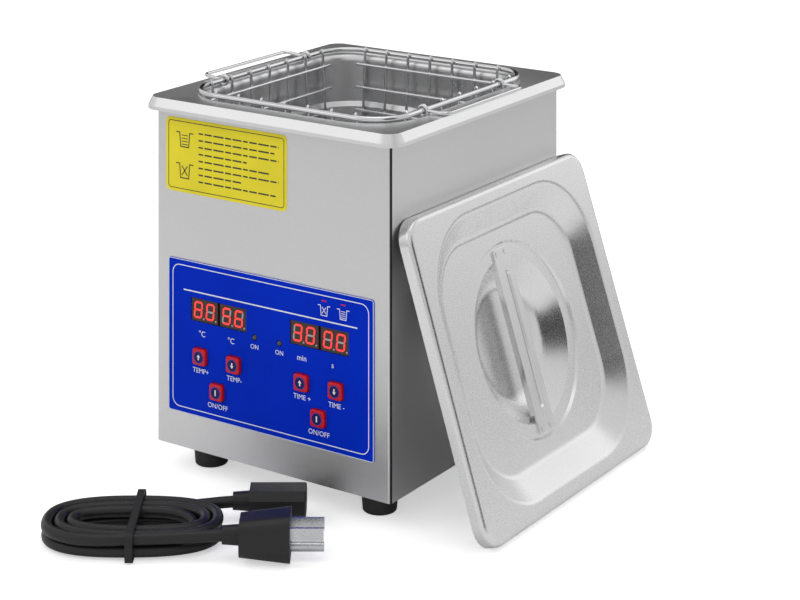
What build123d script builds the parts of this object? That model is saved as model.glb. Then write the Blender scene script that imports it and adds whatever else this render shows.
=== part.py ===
"""Two-litre bench ultrasonic cleaner with its basket, its lift-off lid and its mains lead.

Origin: the middle of the footprint on the bench. +X is right, +Y is back, +Z is up, millimetres.
The control panel faces -Y. The lid leans on the right side, its handle face outwards.
"""
from build123d import *
from math import atan, cos, degrees, radians, sin
import os

os.makedirs("parts", exist_ok=True)

# ---------------------------------------------------------------- driving dimensions
BODY_W, BODY_D = 160.0, 175.0       # casing, side to side and front to back
TOP_Z = 210.0                       # flat of the tank's flange above the bench
FOOT_H = 15.0                       # rubber foot, also the casing's lower edge
SHEET = 0.8                         # stainless sheet of the casing, tank and lid
FIT = 0.1                           # gap between sheets that meet

TANK_W, TANK_D, TANK_DEPTH = 137.0, 150.0, 100.0    # inside, below the shoulder
TANK_CORNER = 28.5
TANK_FLOOR_R = 10.0
SHOULDER, SHOULDER_H, SHOULDER_DROP = 1.5, 3.0, 33.0   # step out, its height, its depth below the flange
LIP_R = 5.0                         # rolled lip between the mouth and the flange
FLANGE_W, FLANGE_D, FLANGE_CORNER = 168.0, 183.0, 8.0
BEVEL_OUT, BEVEL_H = 2.5, 4.8       # sloped edge of the flange
EDGE_H = 2.0                        # plain edge under the slope
GASKET_H, GASKET_W = 1.0, 3.0

LID_U, LID_V, LID_CORNER = 170.0, 186.0, 13.0       # up the slope, and along Y
LID_SKIRT, LID_EDGE_R = 8.0, 3.0
LID_LEAN = 18.0                     # from upright, degrees
LID_GAP = 0.3                       # between the lid's top edge and the casing
LID_SHIFT_Y = 8.0                   # the lid's middle behind the casing's middle
RECESS_U, RECESS_V, RECESS_CORNER = 124.0, 136.0, 31.0   # recess floor
RECESS_RUN, RECESS_DEPTH = 14.0, 9.5
RING_R, RING_DROP = 53.0, 1.5       # shallow round step in the recess floor
BOWL_R, BOWL_FLOOR_R, BOWL_DEPTH = 45.0, 31.5, 11.0     # finger bowl under the handle
GRIP_L, GRIP_W, GRIP_T = 100.0, 16.0, 1.0
GRIP_EDGE = 2.6                     # turned-down edges of the handle

RIM_WIRE, WALL_WIRE, BOW_WIRE = 3.0, 1.8, 2.0       # basket wire diameters
RIM_W, RIM_D, RIM_CORNER = 138.6, 151.0, 22.0       # rim, wire centre to wire centre
RIM_Z = TOP_Z + 1.5
BASKET_FLOOR_Z = 122.0
BASKET_TAPER = 5.0                  # each wall leans in by this much at the floor
BASKET_BEND_R = 8.0
WIRES_PER_WALL = 7
SIDE_PITCH, END_PITCH = 18.0, 16.0  # wires on the side walls, and on the front and back walls
ROW_DROPS = (8.0, 22.0, 36.0, 50.0, 64.0, 76.0)    # level wires below the rim
ROW_OVERRUN = 4.5
BOW_LEG, BOW_HALF = 15.5, 40.0      # basket handle: reach, and half its width
BOW_PLAY = 0.05                     # radial clearance of a handle eye on the rim
BOW_LIFT_LEFT = 4.0                 # degrees above level at rest

PANEL_X, PANEL_Z, PANEL_W, PANEL_H, PANEL_T = -0.7, 77.5, 140.6, 86.0, 0.5
LABEL_X, LABEL_Z, LABEL_W, LABEL_H, LABEL_T = -30.5, 178.75, 85.0, 41.5, 0.2
DISPLAY_XS, DISPLAY_Z = (-35.2, 33.9), 93.9
DIGIT_W, DIGIT_H, DIGIT_PITCH = 18.5, 12.5, 20.1    # one two-digit module
LED_XS, LED_Z, LED_R = (-9.8, 7.2), 86.0, 1.5
BUTTON_W, BUTTON_R, BUTTON_PROUD = 9.2, 1.6, 2.2
BUTTON_TRAVEL = 0.5
BUTTONS = {
    "button_temp_up": (-47.6, 68.4),
    "button_temp_down": (-23.9, 68.4),
    "button_heat_on_off": (-35.6, 51.0),
    "button_time_up": (22.6, 68.0),
    "button_time_down": (45.4, 68.0),
    "button_clean_on_off": (33.8, 51.0),
}

FEET = [(x, y) for x in (-58.0, 58.0) for y in (-65.5, 65.5)]
BASE_SCREWS = [(x, y) for x in (-72.0, 72.0) for y in (-45.0, 45.0)]
REAR_SCREWS = [(x, z) for x in (-73.0, 73.0) for z in (35.0, 110.0, 185.0)]
INLET_X, INLET_Z = 38.0, 62.0
SWITCH_X, SWITCH_Z = -38.0, 62.0
SWITCH_TILT = 9.0                   # rocker, either side of level

# ---------------------------------------------------------------- derived places
FRONT_Y, BACK_Y = -BODY_D / 2, BODY_D / 2
FRONT_IN = FRONT_Y + SHEET
BACK_IN = BACK_Y - SHEET
SIDE_IN = BODY_W / 2 - SHEET
BASE_Z = FOOT_H
BASE_T = 1.0
BASE_TOP = BASE_Z + BASE_T
CASING_TOP = TOP_Z - SHEET - GASKET_H
MOUTH_W, MOUTH_D = TANK_W + 2 * SHOULDER, TANK_D + 2 * SHOULDER
TANK_UNDER_Z = TOP_Z - TANK_DEPTH - SHEET


def front_plane(y):
    """An upright plane at depth y that faces the user: local x is +X, local y is +Z."""
    return Plane(origin=(0, y, 0), x_dir=(1, 0, 0), z_dir=(0, -1, 0))


def rear_plane(y):
    """An upright plane at depth y that faces backwards: local x is -X, local y is +Z."""
    return Plane(origin=(0, y, 0), x_dir=(-1, 0, 0), z_dir=(0, 1, 0))


def level(z):
    return Plane.XY.offset(z)


def screws(places, plane_at, head_r, head_h, shank_r, shank_l):
    """Pan-head screws: the head stands out of the plane, the shank runs into it."""
    with BuildPart() as group:
        with BuildSketch(plane_at):
            with Locations(*places):
                Circle(head_r)
        extrude(amount=head_h)
        with BuildSketch(plane_at):
            with Locations(*places):
                Circle(shank_r)
        extrude(amount=-shank_l)
    return group


# ================================================================ tank
def tank_hollow(grow):
    """The space inside the tank and above its flange, with every wall moved out by grow."""
    floor_z = TOP_Z - TANK_DEPTH - grow
    shoulder_z = TOP_Z - SHOULDER_DROP
    slab_z = TOP_Z - grow
    with BuildPart() as hollow:
        with BuildSketch(level(floor_z)):
            RectangleRounded(TANK_W + 2 * grow, TANK_D + 2 * grow, TANK_CORNER + grow)
        extrude(amount=shoulder_z - floor_z)
        fillet(hollow.faces().sort_by(Axis.Z)[0].edges(), TANK_FLOOR_R + grow)
        with BuildSketch(level(shoulder_z)):
            RectangleRounded(TANK_W + 2 * grow, TANK_D + 2 * grow, TANK_CORNER + grow)
        extrude(amount=SHOULDER_H, taper=-degrees(atan(SHOULDER / SHOULDER_H)))
        with BuildSketch(level(shoulder_z + SHOULDER_H)):
            RectangleRounded(MOUTH_W + 2 * grow, MOUTH_D + 2 * grow, TANK_CORNER + SHOULDER + grow)
        extrude(amount=slab_z - shoulder_z - SHOULDER_H)
        with BuildSketch(level(slab_z)):
            RectangleRounded(FLANGE_W - 1.0, FLANGE_D - 1.0, FLANGE_CORNER - 0.5)
        extrude(amount=10.0)
        lip = hollow.edges().filter_by_position(Axis.Z, slab_z - 0.01, slab_z + 0.01)
        lip = lip.filter_by(lambda e: abs(e.center().X) < MOUTH_W / 2 + 1)
        lip = lip.filter_by(lambda e: abs(e.center().Y) < MOUTH_D / 2 + 1)
        fillet(lip, LIP_R - grow)
    return hollow


BEVEL_TAPER = degrees(atan(BEVEL_OUT / BEVEL_H))
SLOPE_T = SHEET / cos(radians(BEVEL_TAPER))     # the sloped sheet's thickness, measured level
tank_inside = tank_hollow(0.0)
tank_outside = tank_hollow(SHEET)
with BuildPart() as tank:
    edge_w, edge_d = FLANGE_W + 2 * BEVEL_OUT, FLANGE_D + 2 * BEVEL_OUT
    bevel_z = TOP_Z - BEVEL_H
    with BuildSketch(level(bevel_z - EDGE_H)):
        RectangleRounded(edge_w, edge_d, FLANGE_CORNER + BEVEL_OUT)
    extrude(amount=EDGE_H)
    with BuildSketch(level(bevel_z)):
        RectangleRounded(edge_w, edge_d, FLANGE_CORNER + BEVEL_OUT)
    extrude(amount=BEVEL_H, taper=BEVEL_TAPER)
    with BuildSketch(level(bevel_z - EDGE_H)):
        RectangleRounded(edge_w - 2 * SLOPE_T, edge_d - 2 * SLOPE_T, FLANGE_CORNER + BEVEL_OUT - SLOPE_T)
    extrude(amount=EDGE_H, mode=Mode.SUBTRACT)
    with BuildSketch(level(bevel_z)):
        RectangleRounded(edge_w - 2 * SLOPE_T, edge_d - 2 * SLOPE_T, FLANGE_CORNER + BEVEL_OUT - SLOPE_T)
    extrude(amount=BEVEL_H - SHEET, taper=BEVEL_TAPER, mode=Mode.SUBTRACT)
    add(tank_outside.part)
    add(tank_inside.part, mode=Mode.SUBTRACT)
tank.part.label = "tank"
export_step(tank.part, "parts/tank.step")

with BuildPart() as flange_gasket:
    with BuildSketch(level(CASING_TOP)):
        RectangleRounded(BODY_W, BODY_D, 2.0)
        offset(amount=-GASKET_W, mode=Mode.SUBTRACT)
    extrude(amount=GASKET_H)
flange_gasket.part.label = "flange_gasket"
export_step(flange_gasket.part, "parts/flange_gasket.step")

# ================================================================ casing
CORNER_R = 2.0
BASE_FLANGE_W, REAR_FLANGE_W = 14.0, 12.0
WINDOW_PLAY = 0.3                   # round a button, display or lamp
WINDOWS_W = DIGIT_PITCH + DIGIT_W + 2 * WINDOW_PLAY


def front_windows(plane):
    """The display, lamp and button openings through a front sheet."""
    with BuildSketch(plane) as openings:
        with Locations(*[(x, DISPLAY_Z) for x in DISPLAY_XS]):
            Rectangle(WINDOWS_W, DIGIT_H + 2 * WINDOW_PLAY)
        with Locations(*[(x, LED_Z) for x in LED_XS]):
            Circle(LED_R + WINDOW_PLAY)
        with Locations(*BUTTONS.values()):
            RectangleRounded(BUTTON_W + 2 * WINDOW_PLAY, BUTTON_W + 2 * WINDOW_PLAY, BUTTON_R)
    return openings.sketch


casing_windows = front_windows(front_plane(FRONT_Y))
panel_windows = front_windows(front_plane(FRONT_Y - PANEL_T))

with BuildPart() as casing:
    with BuildSketch(level(BASE_Z)) as wrap:
        Rectangle(BODY_W, BODY_D)
        fillet(wrap.vertices().group_by(Axis.Y)[0], CORNER_R)
    extrude(amount=CASING_TOP - BASE_Z)
    with BuildSketch(level(BASE_Z)) as inside:
        with Locations((0, SHEET / 2)):
            Rectangle(2 * SIDE_IN, BODY_D - SHEET)
        fillet(inside.vertices().group_by(Axis.Y)[0], CORNER_R - SHEET)
    extrude(amount=CASING_TOP - BASE_Z, mode=Mode.SUBTRACT)
    for side in (-1, 1):
        # the wrap's return flanges: one under each side, one behind each side
        with BuildSketch(level(BASE_TOP + FIT)):
            with Locations((side * (SIDE_IN - BASE_FLANGE_W / 2), 0)):
                Rectangle(BASE_FLANGE_W, BODY_D - 6)
        extrude(amount=SHEET)
        with BuildSketch(level(BASE_TOP + 3)):
            with Locations((side * (SIDE_IN - REAR_FLANGE_W / 2), BACK_IN - FIT - SHEET / 2)):
                Rectangle(REAR_FLANGE_W, SHEET)
        extrude(amount=CASING_TOP - BASE_TOP - 8)
    with BuildSketch(level(BASE_Z)):
        with Locations(*BASE_SCREWS):
            Circle(1.55)
    extrude(amount=5, mode=Mode.SUBTRACT)
    with BuildSketch(front_plane(BACK_Y)):
        with Locations(*REAR_SCREWS):
            Circle(1.55)
    extrude(amount=6, mode=Mode.SUBTRACT)
    extrude(casing_windows, amount=-2 * SHEET, mode=Mode.SUBTRACT)
casing.part.label = "casing"
export_step(casing.part, "parts/casing.step")

# ================================================================ base plate
VENT_L, VENT_W, VENT_PITCH = 46.0, 3.0, 8.0
with BuildPart() as base_plate:
    with BuildSketch(level(BASE_Z)):
        RectangleRounded(2 * (SIDE_IN - FIT), BACK_IN - FRONT_IN - 2 * FIT, CORNER_R)
        with GridLocations(0, VENT_PITCH, 1, 8):
            SlotOverall(VENT_L, VENT_W, mode=Mode.SUBTRACT)
        with Locations(*FEET):
            Circle(2.15, mode=Mode.SUBTRACT)
        with Locations(*BASE_SCREWS):
            Circle(1.6, mode=Mode.SUBTRACT)
    extrude(amount=BASE_T)
base_plate.part.label = "base_plate"
export_step(base_plate.part, "parts/base_plate.step")

# ================================================================ feet
FOOT_R, FOOT_TIP_R, FOOT_BORE = 10.5, 9.25, 6.5
with BuildPart() as rubber_feet:
    for x, y in FEET:
        with BuildSketch(level(0)):
            with Locations((x, y)):
                Circle(FOOT_TIP_R)
        extrude(amount=FOOT_H, taper=-degrees(atan((FOOT_R - FOOT_TIP_R) / FOOT_H)))
    fillet(rubber_feet.faces().group_by(Axis.Z)[0].edges(), 1.0)
    with BuildSketch(level(0)):
        with Locations(*FEET):
            Circle(4.2)
    extrude(amount=FOOT_BORE, mode=Mode.SUBTRACT)
    with BuildSketch(level(0)):
        with Locations(*FEET):
            Circle(2.15)
    extrude(amount=FOOT_H, mode=Mode.SUBTRACT)
rubber_feet.part.label = "rubber_feet"
export_step(rubber_feet.part, "parts/rubber_feet.step")

foot_screw_shapes = screws(FEET, Plane(origin=(0, 0, FOOT_BORE), x_dir=(1, 0, 0), z_dir=(0, 0, -1)),
                           3.8, 2.6, 2.0, 14.0)
with BuildPart() as foot_fasteners:
    add(foot_screw_shapes.part)
    with BuildSketch(level(BASE_TOP)):
        with Locations(*FEET):
            RegularPolygon(3.5, 6, major_radius=False)
            Circle(2.05, mode=Mode.SUBTRACT)
    extrude(amount=3.2)
foot_fasteners.part.label = "foot_fasteners"
export_step(foot_fasteners.part, "parts/foot_fasteners.step")

# ================================================================ rear panel
INLET_BODY_W, INLET_BODY_H = 27.5, 32.0
SWITCH_BODY_W, SWITCH_BODY_H = 13.2, 20.4
with BuildPart() as rear_panel:
    with BuildSketch(front_plane(BACK_Y)):
        with Locations((0, (BASE_Z + CASING_TOP) / 2)):
            Rectangle(2 * (SIDE_IN - FIT), CASING_TOP - BASE_Z)
        with Locations((INLET_X, INLET_Z)):
            Rectangle(INLET_BODY_W + 0.4, INLET_BODY_H + 0.4, mode=Mode.SUBTRACT)
        with Locations((SWITCH_X, SWITCH_Z)):
            Rectangle(SWITCH_BODY_W + 0.4, SWITCH_BODY_H + 0.4, mode=Mode.SUBTRACT)
        with Locations(*REAR_SCREWS):
            Circle(1.6, mode=Mode.SUBTRACT)
        with Locations((0, 150)):
            with GridLocations(9, 0, 9, 1):
                SlotOverall(26, 3, rotation=90, mode=Mode.SUBTRACT)
    extrude(amount=SHEET)
rear_panel.part.label = "rear_panel"
export_step(rear_panel.part, "parts/rear_panel.step")

# ================================================================ control panel
with BuildPart() as front_overlay:
    with BuildSketch(front_plane(FRONT_Y)):
        with Locations((PANEL_X, PANEL_Z)):
            RectangleRounded(PANEL_W, PANEL_H, 1.5)
    extrude(amount=PANEL_T)
    extrude(panel_windows, amount=-PANEL_T, mode=Mode.SUBTRACT)
front_overlay.part.label = "front_overlay"
export_step(front_overlay.part, "parts/front_overlay.step")

with BuildPart() as info_label:
    with BuildSketch(front_plane(FRONT_Y)):
        with Locations((LABEL_X, LABEL_Z)):
            RectangleRounded(LABEL_W, LABEL_H, 3.0)
    extrude(amount=LABEL_T)
info_label.part.label = "info_label"
export_step(info_label.part, "parts/info_label.step")

BOARD_Y = -79.5                     # front of the control board
BOARD_T = 1.6
BOARD_W, BOARD_H, BOARD_Z = 128.0, 72.0, 72.0
BOARD_POSTS = [(x, z) for x in (-59.5, 59.5) for z in (40.5, 103.5)]
FLANGE_T = 1.0                      # stop flange of a button
SWITCH_FACE_Y = -84.2               # tip of a tact switch's plunger

for name, (x, z) in BUTTONS.items():
    with BuildPart() as button:
        flange_y = FRONT_IN + FIT
        with BuildSketch(front_plane(flange_y)):
            with Locations((x, z)):
                RectangleRounded(BUTTON_W, BUTTON_W, BUTTON_R)
        extrude(amount=flange_y - (FRONT_Y - PANEL_T - BUTTON_PROUD))
        fillet(button.faces().sort_by(Axis.Y)[0].edges(), 0.8)
        with BuildSketch(front_plane(flange_y)):
            with Locations((x, z)):
                RectangleRounded(BUTTON_W + 2.6, BUTTON_W + 2.6, BUTTON_R)
        extrude(amount=-FLANGE_T)
        with BuildSketch(front_plane(flange_y + FLANGE_T)):
            with Locations((x, z)):
                Circle(2.5)
        extrude(amount=-(SWITCH_FACE_Y - BUTTON_TRAVEL - 0.05 - flange_y - FLANGE_T))
    button.part.label = name
    export_step(button.part, f"parts/{name}.step")

with BuildPart() as tact_switches:
    for x, z in BUTTONS.values():
        with BuildSketch(front_plane(BOARD_Y)):
            with Locations((x, z)):
                RectangleRounded(6, 6, 0.4)
        extrude(amount=3.5)
        with BuildSketch(front_plane(BOARD_Y - 3.5)):
            with Locations((x, z)):
                Circle(1.75)
        extrude(amount=BOARD_Y - 3.5 - SWITCH_FACE_Y)
tact_switches.part.label = "tact_switches"
export_step(tact_switches.part, "parts/tact_switches.step")


def display(x):
    """Two 2-digit modules side by side, faces just inside the panel film."""
    with BuildPart() as modules:
        with BuildSketch(front_plane(BOARD_Y)):
            with Locations((x - DIGIT_PITCH / 2, DISPLAY_Z), (x + DIGIT_PITCH / 2, DISPLAY_Z)):
                Rectangle(DIGIT_W, DIGIT_H)
        extrude(amount=BOARD_Y - FRONT_Y)
    return modules


temperature_display = display(DISPLAY_XS[0])
temperature_display.part.label = "temperature_display"
export_step(temperature_display.part, "parts/temperature_display.step")

timer_display = display(DISPLAY_XS[1])
timer_display.part.label = "timer_display"
export_step(timer_display.part, "parts/timer_display.step")

with BuildPart() as status_lamps:
    for x in LED_XS:
        with BuildSketch(front_plane(BOARD_Y)):
            with Locations((x, LED_Z)):
                Circle(LED_R)
        extrude(amount=BOARD_Y - FRONT_Y + 1.2)
    fillet(status_lamps.faces().group_by(Axis.Y)[0].edges(), 1.2)
status_lamps.part.label = "status_lamps"
export_step(status_lamps.part, "parts/status_lamps.step")

with BuildPart() as control_board:
    with BuildSketch(front_plane(BOARD_Y + BOARD_T)):
        with Locations((0, BOARD_Z)):
            RectangleRounded(BOARD_W, BOARD_H, 2)
        with Locations(*BOARD_POSTS):
            Circle(1.6, mode=Mode.SUBTRACT)
    extrude(amount=BOARD_T)
control_board.part.label = "control_board"
export_step(control_board.part, "parts/control_board.step")

CHIP_Y = BOARD_Y + BOARD_T
with BuildPart() as controller_chips:
    with BuildSketch(rear_plane(CHIP_Y)):
        with Locations((20, 80), (-30, 84)):
            Rectangle(12, 12)
        with Locations((-50, 62)):
            Rectangle(9, 6)
    extrude(amount=1.6)
controller_chips.part.label = "controller_chips"
export_step(controller_chips.part, "parts/controller_chips.step")

# ================================================================ transducer under the tank
HORN_R, HORN_TIP_R, HORN_L, HORN_COLLAR = 23.0, 17.5, 28.0, 6.0
RING_T, ELECTRODE_T, BACK_L = 5.0, 0.3, 15.0
BOLT_R = 4.0
horn_tip_z = TANK_UNDER_Z - HORN_L
ring_zs = (horn_tip_z - RING_T, horn_tip_z - 2 * RING_T - ELECTRODE_T)
electrode_zs = (ring_zs[0] - ELECTRODE_T, ring_zs[1] - ELECTRODE_T)
back_z = electrode_zs[1] - BACK_L

with BuildPart() as transducer_horn:
    with BuildSketch(Plane.XZ):
        with BuildLine():
            Polyline(
                (0, TANK_UNDER_Z),
                (HORN_R, TANK_UNDER_Z),
                (HORN_R, TANK_UNDER_Z - HORN_COLLAR),
                (HORN_TIP_R, horn_tip_z),
                (0, horn_tip_z),
                close=True,
            )
        make_face()
    revolve(axis=Axis.Z)
    with BuildSketch(level(horn_tip_z)):
        Circle(BOLT_R + 0.05)
    extrude(amount=15.5, mode=Mode.SUBTRACT)
transducer_horn.part.label = "transducer_horn"
export_step(transducer_horn.part, "parts/transducer_horn.step")

with BuildPart() as piezo_rings:
    for z in ring_zs:
        with BuildSketch(level(z)):
            Circle(HORN_TIP_R)
            Circle(7.5, mode=Mode.SUBTRACT)
        extrude(amount=RING_T)
piezo_rings.part.label = "piezo_rings"
export_step(piezo_rings.part, "parts/piezo_rings.step")

with BuildPart() as electrodes:
    for z, side in zip(electrode_zs, (1, -1)):
        with BuildSketch(level(z)):
            Circle(HORN_TIP_R)
            with Locations((side * (HORN_TIP_R + 3), 0)):
                Rectangle(8, 4)
            Circle(7.5, mode=Mode.SUBTRACT)
        extrude(amount=ELECTRODE_T)
electrodes.part.label = "electrodes"
export_step(electrodes.part, "parts/electrodes.step")

with BuildPart() as transducer_back_mass:
    with BuildSketch(level(back_z)):
        Circle(HORN_TIP_R)
        Circle(BOLT_R + 0.3, mode=Mode.SUBTRACT)
    extrude(amount=BACK_L)
transducer_back_mass.part.label = "transducer_back_mass"
export_step(transducer_back_mass.part, "parts/transducer_back_mass.step")

with BuildPart() as transducer_bolt:
    with BuildSketch(level(back_z - 8)):
        Circle(6.5)
    extrude(amount=8)
    with BuildSketch(level(back_z)):
        Circle(BOLT_R)
    extrude(amount=horn_tip_z + 15 - back_z)
    with BuildSketch(level(back_z - 8)):
        RegularPolygon(3, 6, major_radius=False)
    extrude(amount=4, mode=Mode.SUBTRACT)
transducer_bolt.part.label = "transducer_bolt"
export_step(transducer_bolt.part, "parts/transducer_bolt.step")

# ================================================================ heaters and sensor on the tank
PAD_T, PAD_L, PAD_H, PAD_Z = 2.0, 90.0, 44.0, 142.0
with BuildPart() as heater_pads:
    for side in (-1, 1):
        with BuildSketch(Plane(origin=(side * (TANK_W / 2 + SHEET), 0, PAD_Z), x_dir=(0, 1, 0),
                               z_dir=(side, 0, 0))):
            RectangleRounded(PAD_L, PAD_H, 4)
        extrude(amount=PAD_T)
heater_pads.part.label = "heater_pads"
export_step(heater_pads.part, "parts/heater_pads.step")

SENSOR_R = 3.0
with BuildPart() as temperature_sensor:
    sensor_y = TANK_D / 2 + SHEET + SENSOR_R
    with BuildSketch(Plane(origin=(-8, sensor_y, 130), z_dir=(1, 0, 0))):
        Circle(SENSOR_R)
    extrude(amount=16)
    fillet(temperature_sensor.faces().sort_by(Axis.X)[0].edges(), 1.0)
temperature_sensor.part.label = "temperature_sensor"
export_step(temperature_sensor.part, "parts/temperature_sensor.step")

# ================================================================ driver board on the base plate
DRIVER_W, DRIVER_D, DRIVER_Y = 112.0, 80.0, 27.0
POST_H = 8.0
DRIVER_Z = BASE_TOP + POST_H
DRIVER_TOP = DRIVER_Z + BOARD_T
DRIVER_POSTS = [(x, y) for x in (-44.0, 44.0) for y in (DRIVER_Y - 36, DRIVER_Y + 36)]

with BuildPart() as driver_board:
    with BuildSketch(level(DRIVER_Z)):
        with Locations((0, DRIVER_Y)):
            RectangleRounded(DRIVER_W, DRIVER_D, 2)
        with Locations(*DRIVER_POSTS):
            Circle(1.6, mode=Mode.SUBTRACT)
    extrude(amount=BOARD_T)
driver_board.part.label = "driver_board"
export_step(driver_board.part, "parts/driver_board.step")

with BuildPart() as output_transformer:
    with BuildSketch(level(DRIVER_TOP)):
        with Locations((-34, 18)):
            Circle(16)
            Circle(7.5, mode=Mode.SUBTRACT)
    extrude(amount=14)
    fillet(output_transformer.edges().filter_by(GeomType.CIRCLE), 3.0)
output_transformer.part.label = "output_transformer"
export_step(output_transformer.part, "parts/output_transformer.step")

with BuildPart() as capacitors:
    with BuildSketch(level(DRIVER_TOP)):
        with Locations((-28, 48)):
            Circle(9)
    extrude(amount=32)
    fillet(capacitors.faces().sort_by(Axis.Z)[-1].edges(), 1.2)
    with BuildSketch(level(DRIVER_TOP)):
        with Locations((-6, 50), (12, 50)):
            RectangleRounded(8, 18, 1.5)
    extrude(amount=14)
capacitors.part.label = "capacitors"
export_step(capacitors.part, "parts/capacitors.step")

SINK_X, SINK_Y, SINK_W, SINK_H = 40.0, 16.0, 30.0, 30.0
with BuildPart() as heatsink:
    with BuildSketch(level(DRIVER_TOP)):
        with Locations((SINK_X, SINK_Y)):
            Rectangle(SINK_W, 3)
        with Locations((SINK_X, SINK_Y + 6)):
            with GridLocations(4.8, 0, 7, 1):
                Rectangle(1.2, 9.1)
    extrude(amount=SINK_H)
heatsink.part.label = "heatsink"
export_step(heatsink.part, "parts/heatsink.step")

with BuildPart() as power_transistors:
    with BuildSketch(level(DRIVER_TOP + 4)):
        with Locations((SINK_X - 8, SINK_Y - 1.5 - 2.2), (SINK_X + 8, SINK_Y - 1.5 - 2.2)):
            Rectangle(10, 4.4)
    extrude(amount=15)
power_transistors.part.label = "power_transistors"
export_step(power_transistors.part, "parts/power_transistors.step")

with BuildPart() as terminal_blocks:
    with BuildSketch(level(DRIVER_TOP)):
        with Locations((30, 58), (-2, 64)):
            Rectangle(20, 8)
        with Locations((0, -7)):
            Rectangle(26, 8)
    extrude(amount=9)
terminal_blocks.part.label = "terminal_blocks"
export_step(terminal_blocks.part, "parts/terminal_blocks.step")

# ================================================================ internal wiring
WIRE_R = 0.9
TERMINAL_Z = DRIVER_TOP + 9 + WIRE_R


def lead(points, bend, radius=WIRE_R):
    """A round insulated wire along straight runs with rounded turns."""
    with BuildPart() as wire:
        with BuildLine() as path:
            FilletPolyline(*points, radius=bend)
        with BuildSketch(Plane(origin=path.line @ 0, z_dir=path.line % 0)):
            Circle(radius)
        sweep()
    return wire.part


with BuildPart() as internal_leads:
    for side, z in zip((1, -1), electrode_zs):      # driver board to the transducer
        tab_x = side * (HORN_TIP_R + 5.5)
        add(lead([(tab_x, -1.2, z - WIRE_R), (tab_x, -9, z - WIRE_R), (tab_x, -9, 43),
                  (tab_x * 0.35, -7, 43), (tab_x * 0.35, -7, TERMINAL_Z)], 3))
    for side in (-1, 1):                            # driver board to the heater pads
        pad_x = side * (TANK_W / 2 + SHEET + PAD_T + WIRE_R)
        add(lead([(pad_x, 30, 124), (pad_x, 30, 62), (side * 8 - 2, 64, 62),
                  (side * 5 - 2, 64, TERMINAL_Z)], 4))
    for shift in (-4, 4):                           # mains inlet to the driver board
        add(lead([(INLET_X + shift, 59, INLET_Z - 6), (INLET_X + shift, 54, INLET_Z - 6),
                  (30 + shift, 54, TERMINAL_Z)], 2))
internal_leads.part.label = "internal_leads"
export_step(internal_leads.part, "parts/internal_leads.step")

RIBBON_X, RIBBON_W, RIBBON_T = -26.0, 20.0, 0.9
with BuildPart() as ribbon_cable:
    with BuildSketch(Plane.YZ.offset(RIBBON_X - RIBBON_W / 2)):
        with BuildLine() as run:
            FilletPolyline((CHIP_Y, 60), (CHIP_Y + 12, 60), (CHIP_Y + 12, 34), (-10, 34),
                           (-10, DRIVER_TOP), radius=3)
        trace(run.line, RIBBON_T)
    extrude(amount=RIBBON_W)
ribbon_cable.part.label = "ribbon_cable"
export_step(ribbon_cable.part, "parts/ribbon_cable.step")

with BuildPart() as earth_stud:
    with BuildSketch(level(BASE_TOP)):
        with Locations((62, 30)):
            Circle(2)
    extrude(amount=12)
    with BuildSketch(level(BASE_TOP + 3)):
        with Locations((62, 30)):
            RegularPolygon(3.5, 6, major_radius=False)
    extrude(amount=3.2)
earth_stud.part.label = "earth_stud"
export_step(earth_stud.part, "parts/earth_stud.step")

# ================================================================ mains inlet with fuse drawer
INLET_FLANGE_W, INLET_FLANGE_H, INLET_FLANGE_T = 50.0, 37.0, 3.0
SOCKET_W, SOCKET_H, SOCKET_DEPTH, SOCKET_RISE = 24.4, 16.9, 17.0, 6.0
DRAWER_W, DRAWER_H, DRAWER_L, DRAWER_DROP = 22.0, 6.4, 20.0, 10.6
inlet_face = BACK_Y + INLET_FLANGE_T
with BuildPart() as mains_inlet:
    with BuildSketch(rear_plane(BACK_Y)):
        with Locations((-INLET_X, INLET_Z)):
            RectangleRounded(INLET_FLANGE_W, INLET_FLANGE_H, 5)
            with GridLocations(40, 0, 2, 1):
                Circle(1.65, mode=Mode.SUBTRACT)
    extrude(amount=INLET_FLANGE_T)
    fillet(mains_inlet.faces().sort_by(Axis.Y)[-1].outer_wire().edges(), 0.8)
    with BuildSketch(rear_plane(BACK_Y)):
        with Locations((-INLET_X, INLET_Z)):
            Rectangle(INLET_BODY_W, INLET_BODY_H)
    extrude(amount=-27.5)
    with BuildSketch(rear_plane(inlet_face)) as cavity:
        with Locations((-INLET_X, INLET_Z + SOCKET_RISE)):
            Rectangle(SOCKET_W, SOCKET_H)
        chamfer(cavity.vertices().group_by(Axis.Z)[-1], 4.5)
    extrude(amount=-SOCKET_DEPTH, mode=Mode.SUBTRACT)
    with BuildSketch(rear_plane(inlet_face)):
        with Locations((-INLET_X, INLET_Z - DRAWER_DROP)):
            Rectangle(DRAWER_W + 0.4, DRAWER_H + 0.4)
    extrude(amount=-DRAWER_L - 1, mode=Mode.SUBTRACT)
mains_inlet.part.label = "mains_inlet"
export_step(mains_inlet.part, "parts/mains_inlet.step")

with BuildPart() as inlet_pins:
    with BuildSketch(rear_plane(inlet_face - SOCKET_DEPTH)):
        with Locations((-INLET_X, INLET_Z + SOCKET_RISE)):
            with Locations((-7, -2), (7, -2), (0, 2)):
                Rectangle(2, 4)
    extrude(amount=15)
inlet_pins.part.label = "inlet_pins"
export_step(inlet_pins.part, "parts/inlet_pins.step")

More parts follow.
